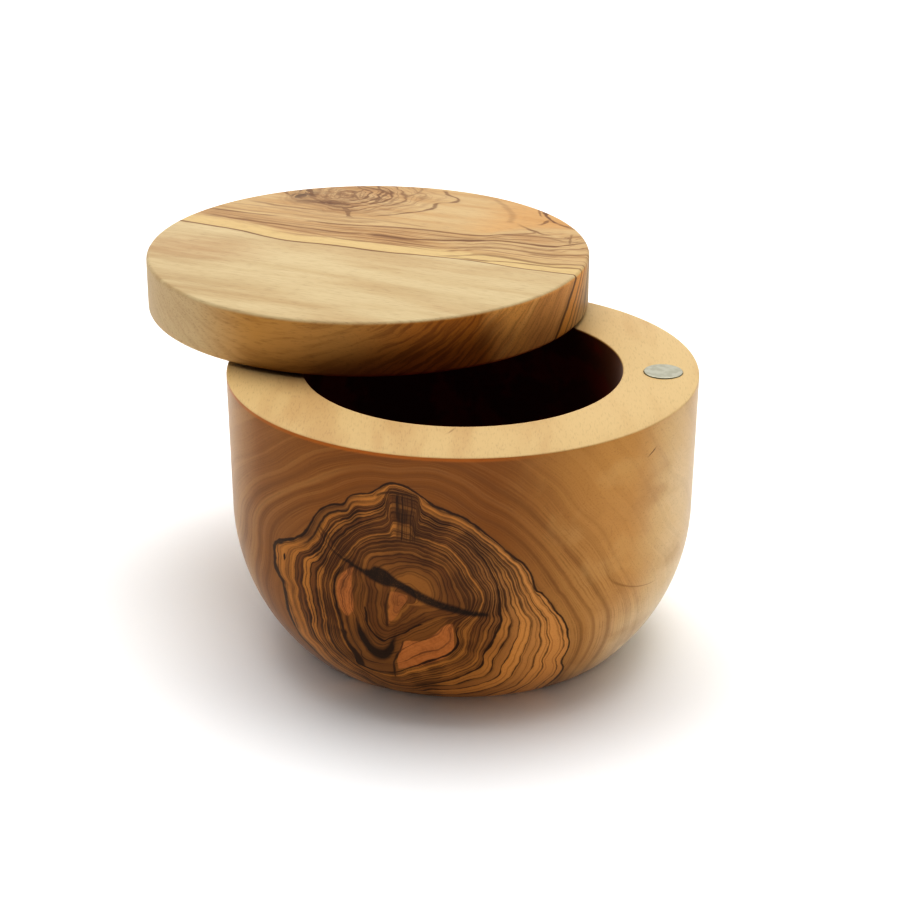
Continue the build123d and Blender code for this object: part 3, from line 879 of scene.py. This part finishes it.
def lid_material():
    """Olive wood lid, faced, sanded and oiled: pale sapwood in front, striped golden heartwood behind."""
    made, tree, shader = begun("olive_wood_faced_and_oiled_lid")
    place = millimetres(tree, (lid_at.x, lid_at.y, lid_high.z), LID_FIBRE)
    bent = wandering(tree, place, (0.18, 1, 1), ((9, 0.9), (3, 0.4), (1, 0.1)))
    spot = add(tree, "ShaderNodeSeparateXYZ", {0: bent})
    level = add(tree, "ShaderNodeSeparateXYZ", {0: place})
    along, depth = spot.outputs["X"], spot.outputs["Z"]
    across = add(tree, MATH, {0: depth, 1: -LAYER_LEAN, 2: spot.outputs["Y"]}, operation="MULTIPLY_ADD")
    bands = [
        drawn(tree, along, points, (-60.0, 60.0), (-10.0, 40.0))
        for points in (SPLIT_OF_WOODS, BAND_FRONT, BAND_MIDDLE, BAND_BACK)
    ]
    count, width = rings(tree, across, bands[1:], BAND_LINES, bands[0])
    behind = add(tree, MATH, {0: across, 1: bands[0]}, operation="SUBTRACT")
    past = add(tree, MATH, {0: across, 1: bands[3]}, operation="SUBTRACT")
    farther = add(tree, MATH, {0: past, 1: 0.0}, operation="MAXIMUM")
    count = add(tree, MATH, {0: farther, 1: 0.5, 2: count}, operation="MULTIPLY_ADD")
    width = add(tree, MIX, {0: mask(tree, (past, -0.1, 0.1)), FLOAT_A: width, FLOAT_B: 2.0})

    layer = add(tree, "ShaderNodeCombineXYZ", {"X": level.outputs["X"], "Y": across, "Z": depth})
    mottle = drawn_out(tree, layer, LID_STRETCH, 7, 3.0)
    streak = drawn_out(tree, layer, LID_STRETCH, 1.1, 3.0)
    loose = drawn_out(tree, layer, LID_STRETCH, 5, 1.5)
    drift = add(tree, MATH, {0: loose, 1: 0.5}, operation="SUBTRACT")
    count = add(tree, MATH, {0: drift, 1: 2.5, 2: count}, operation="MULTIPLY_ADD")
    vary = mask(tree, (drawn_out(tree, layer, LID_STRETCH, 3, 2.0), 0.35, 0.65, 0.4, 1.5))
    broad = drawn_out(tree, layer, (0.25, 1, 0.5), 14, 2.0)
    outside = (out_from_axis(tree, place), LID_R_MM - 1.1, LID_R_MM - 0.3)
    side = mask(tree, outside, (level.outputs["Z"], -0.9, -0.2, 1.0, 0.0))
    left_stain = speck(tree, laid_flat(tree, place), (-40.0, -18.0), (26.0, 13.0), 5, 0.9)

    sapwood = coats(
        tree,
        linear("BEAB85"),
        ("AC9067", (broad, 0.4, 0.66, 0.0, 0.55)),
        ("A58A60", (mottle, 0.45, 0.75, 0.0, 0.4)),
        ("9A7D55", (along, 0.0, -52.0, 0.0, 0.5), (mottle, 0.36, 0.66)),
        ("A07C55", left_stain, (mottle, 0.3, 0.6, 0.35, 0.8)),
        ("B9A17B", side),
        # Partly the wood's own tone, partly painted shade and light on the side: tan and dark orange-brown
        # towards the front, golden towards the right end.
        ("B08548", side, (along, -26.0, -2.0)),
        ("B2752F", side, (along, 16.0, 40.0)),
        ("4E2C10", side, (streak, 0.44, 0.6), (along, 20.0, 34.0, 0.0, 0.3)),
        ("E0A860", side, (along, 46.0, 50.5)),
        ("CE9758", side, (along, 51.5, 55.0)),
        ("6B3F16", side, (streak, 0.42, 0.68), (along, -30.0, 15.0, 0.05, 0.22)),
        ("F0BE78", side, (mottle, 0.5, 0.62), (along, 44.0, 50.0), 0.4),
    )

    # Heartwood: bands of dark lines, browner between them, that run on down the side.
    bold, shade = late_wood(tree, count, width, 1.7, 0.28, vary, seed=2.0, feather=2.0)[:2]
    medium, soft = late_wood(tree, count, width, 0.7, 0.17, vary, seed=5.0, feather=2.0)[:2]
    fading = mask(tree, (past, 0.0, 14.0, 0.85, 0.0), (along, -16.0, 0.0, 1.0, 0.15))
    fading = add(tree, MIX, {0: mask(tree, (past, -0.3, 0.6)), FLOAT_A: 1.0, FLOAT_B: fading})
    patchy = mask(tree, (loose, 0.3, 0.55, 0.4, 1.0), (along, -34.0, -8.0, 0.55, 1.0))
    in_band = mask(tree, (behind, 4.0, 7.0), fading, patchy)
    lines = [mask(tree, strongest(tree, mask(tree, medium, 0.6), bold), in_band, 0.6)]
    rough = wandering(tree, bent, (1, 1, 1), ((9, 3.0), (3, 0.9)))
    stained = mask(tree, (behind, 5.0, 8.5), (past, -3.0, 3.0, 1.0, 0.0), (along, -5.0, 20.0, 0.5, 0.12))
    smudged = speck(tree, laid_flat(tree, bent), (37.0, 24.0), (12.0, 5.0), -8, 0.8)
    heartwood = coats(
        tree,
        linear("B99E73"),
        ("A9824F", (mottle, 0.4, 0.75, 0.0, 0.8)),
        ("C3AA78", (behind, 4.5, 8.0, 0.8, 0.0)),
        ("BC8B4E", (along, 11.0, 27.0), (past, 1.0, 7.0), 0.55),
        ("A87540", stained, (loose, 0.35, 0.6, 0.3, 0.65)),
        ("9A6C3E", smudged, 0.4),
        ("9A6B34", strongest(tree, shade, soft), in_band, 0.38),
        # Partly the golden heartwood, partly painted shade: the front of the side deep orange, as it looks
        # in shadow.
        ("D8943C", side, (across, 18.0, 4.0), (along, 10.0, 40.0), 0.85),
    )
    heartwood, knot_lines = lid_knot(tree, rough, along, vary, streak, heartwood)
    broken = mask(tree, (streak, 0.3, 0.6, 0.75, 1.0))
    lines += veins(tree, along, across, LID_STRANDS, vary, 5.0, STRAND_SOFTEN, broken)
    lines += veins(tree, across, along, LID_CROSSING, vary, 1.5, STRAND_SOFTEN, broken)
    lines = strongest(tree, knot_lines, *lines)
    line_colour = coats(tree, linear("5E360E"), ("3A200C", side))
    heartwood = coats(tree, heartwood, (line_colour, lines, 0.97))

    # The dark line where the two woods meet is bold on the side.
    heavy = add(tree, MATH, {0: side, 1: 1.1, 2: 0.75}, operation="MULTIPLY_ADD")
    heavy = mask(tree, heavy, (along, 25.0, 0.0, 0.7, 1.0))
    meeting = add(tree, MATH, {0: how_far(tree, across, bands[0]), 1: heavy}, operation="DIVIDE")
    colour = coats(
        tree,
        sapwood,
        (heartwood, (behind, -0.2, 0.3)),
        (line_colour, (meeting, 0.15, 1.0, 0.8, 0.0)),
        ("8A5F30", (streak, 0.4, 0.7, 0.0, 0.1)),
    )
    oiled(tree, shader, place, (0.3, 2.6, 2.6), colour, "6B4A2C", amount=0.3, specular=0.15, sheen=0.02)
    return made


lid_wood = lid_material()


def nickel_material():
    """Nickel plate on a pressed magnet: soft grey, a little dulled and marked by handling."""
    made, tree, shader = begun("nickel_plate_tumbled")
    shader.inputs["Metallic"].default_value = 1.0
    place = millimetres(tree, (0, 0, 0), 0.0)
    mark = add(tree, NOISE, {"Vector": place, "Scale": 1 / 1.6, "Detail": 4.0}).outputs[0]
    grit = add(tree, NOISE, {"Vector": place, "Scale": 7.0, "Detail": 2.0}).outputs[0]
    colour = coats(tree, linear("A09E8F"), ("949283", (mark, 0.4, 0.65)))
    tree.links.new(colour, shader.inputs["Base Color"])
    tree.links.new(mask(tree, (mark, 0.35, 0.7, 0.4, 0.47)), shader.inputs["Roughness"])
    relief = add(tree, "ShaderNodeBump", {"Height": grit, "Strength": 0.15, "Distance": 0.02 * MM})
    tree.links.new(relief.outputs[0], shader.inputs["Normal"])
    return made


def steel_material():
    """Ground steel dowel: bright, with grinding marks that run round it."""
    made, tree, shader = begun("steel_dowel_ground")
    shader.inputs["Metallic"].default_value = 1.0
    place = millimetres(tree, (0, 0, 0), 0.0)
    marks = drawn_out(tree, place, (0.3, 0.3, 12.0), 1.0, 3.0)
    colour = coats(tree, linear("B4B4B2"), ("8E8E8C", (marks, 0.4, 0.7)))
    tree.links.new(colour, shader.inputs["Base Color"])
    tree.links.new(mask(tree, (marks, 0.3, 0.7, 0.2, 0.38)), shader.inputs["Roughness"])
    return made


def nylon_material():
    """Moulded nylon: milky white, waxy and a little see-through, with a fine moulded grain."""
    made, tree, shader = begun("nylon_washer_moulded")
    place = millimetres(tree, (0, 0, 0), 0.0)
    grain = add(tree, NOISE, {"Vector": place, "Scale": 3.0, "Detail": 2.0}).outputs[0]
    tree.links.new(coats(tree, linear("E9E6DC"), ("D9D5C8", grain)), shader.inputs["Base Color"])
    shader.inputs["Roughness"].default_value = 0.45
    shader.inputs["IOR"].default_value = 1.53
    shader.inputs["Subsurface Weight"].default_value = 0.3
    shader.inputs["Subsurface Scale"].default_value = 0.5 * MM
    relief = add(tree, "ShaderNodeBump", {"Height": grain, "Strength": 0.1, "Distance": 0.02 * MM})
    tree.links.new(relief.outputs[0], shader.inputs["Normal"])
    return made


nickel = nickel_material()
HARDWARE = {
    "rim_magnet": nickel,
    "lid_magnet": nickel,
    "pivot_pin": steel_material(),
    "pivot_washer": nylon_material(),
}

# ---- Pieces -----------------------------------------------------------------------------------------
bowl = turned_piece(
    "turned_bowl",
    bowl_profile(),
    (0, 0, 0),
    drilled(pivot.x, pivot.y, PIN_R, BOWL_H, pin_low.z),
    drilled(magnet_at.x, magnet_at.y, MAGNET_R + SOCKET_FIT, BOWL_H, magnet_low.z),
    bowl_wood,
)
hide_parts("bowl")
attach(bowl, "base")

lid = turned_piece(
    "turned_lid",
    lid_profile(),
    (lid_at.x, lid_at.y, 0),
    drilled(pivot.x, pivot.y, PIN_R + PIN_RUNNING, lid_low.z, pin_high.z + PIN_END),
    drilled(lid_magnet_at.x, lid_magnet_at.y, MAGNET_R + SOCKET_FIT, lid_low.z, lid_magnet_high.z),
    lid_wood,
)
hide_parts("lid")
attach(lid, "cover")

for name, finish in HARDWARE.items():
    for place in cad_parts[name].material_slots:
        place.material = finish

# ---- Floor, light and camera -------------------------------------------------------------------------
FLOOR_HALF = 3.0
floor_mesh = bpy.data.meshes.new("floor")
corners = [(x * FLOOR_HALF, y * FLOOR_HALF, 0) for x, y in ((-1, -1), (1, -1), (1, 1), (-1, 1))]
floor_mesh.from_pydata(corners, [], [(0, 1, 2, 3)])
floor = bpy.data.objects.new("floor", floor_mesh)
bpy.context.scene.collection.objects.link(floor)
board, _, board_shader = begun("matt_white_board")  # painted board: flat white, no shine
board_shader.inputs["Base Color"].default_value = linear("F4F4F4")
board_shader.inputs["Roughness"].default_value = 0.9
floor_mesh.materials.append(board)

DARK_SIDE = 0.02
WHITE_WALL = 1.05
CAMERA_HEADING = radians(4.90)  # from +Y, turning left


def studio_world():
    """White walls behind and beside the box, darkness on the side that it faces."""
    made = bpy.data.worlds.new("studio")
    made.use_nodes = True
    tree = made.node_tree
    tree.nodes.clear()
    toward = add(tree, "ShaderNodeTexCoord").outputs["Generated"]
    away = (-sin(CAMERA_HEADING), cos(CAMERA_HEADING), 0)
    behind = add(tree, VECTOR, {0: toward, 1: away}, operation="DOT_PRODUCT").outputs["Value"]
    light = mask(tree, (behind, -0.45, 0.15, DARK_SIDE, WHITE_WALL))
    seen = add(tree, "ShaderNodeLightPath").outputs["Is Camera Ray"]
    light = strongest(tree, light, mask(tree, seen, WHITE_WALL))
    background = add(tree, "ShaderNodeBackground", {"Color": (1, 1, 1, 1), "Strength": light})
    add(tree, "ShaderNodeOutputWorld", {"Surface": background})
    return made


bpy.context.scene.world = studio_world()


def panel(name, place, aim, size, power, spread=180):
    """A soft rectangular studio light, in watts, that faces the point `aim`."""
    data = bpy.data.lights.new(name, "AREA")
    data.shape = "RECTANGLE"
    data.size, data.size_y = size
    data.energy = power
    data.spread = radians(spread)
    made = bpy.data.objects.new(name, data)
    made.location = place
    made.rotation_euler = (Vector(aim) - Vector(place)).to_track_quat("-Z", "Y").to_euler()
    bpy.context.scene.collection.objects.link(made)


panel("overhead", place=(0, 0.35, 1.2), aim=(0, 0, 0), size=(1.2, 1.0), power=9)
panel("table_front", place=(0.02, -0.3, 0.7), aim=(0.02, -0.3, 0), size=(0.8, 0.12), power=0.5, spread=28)
panel("low_card", place=(0, -0.26, 0.02), aim=(0, 0, 0.02), size=(0.5, 0.04), power=0.25)

CAMERA_AT = Vector((43.4, -513.4, 265.9)) * MM
CAMERA_PITCH = radians(23.32)  # below level
CAMERA_ROLL = radians(0.21)
LENS_MM = 88.36

camera_data = bpy.data.cameras.new("camera")
camera_data.lens = LENS_MM
camera_data.sensor_width = 36
camera_data.clip_start = 0.01
camera = bpy.data.objects.new("camera", camera_data)
turn = Matrix.Rotation(CAMERA_HEADING, 4, "Z") @ Matrix.Rotation(pi / 2 - CAMERA_PITCH, 4, "X")
camera.matrix_world = Matrix.Translation(CAMERA_AT) @ turn @ Matrix.Rotation(CAMERA_ROLL, 4, "Z")
bpy.context.scene.collection.objects.link(camera)
bpy.context.scene.camera = camera
bpy.context.scene.view_settings.view_transform = "Standard"
bpy.context.scene.view_settings.look = "High Contrast"
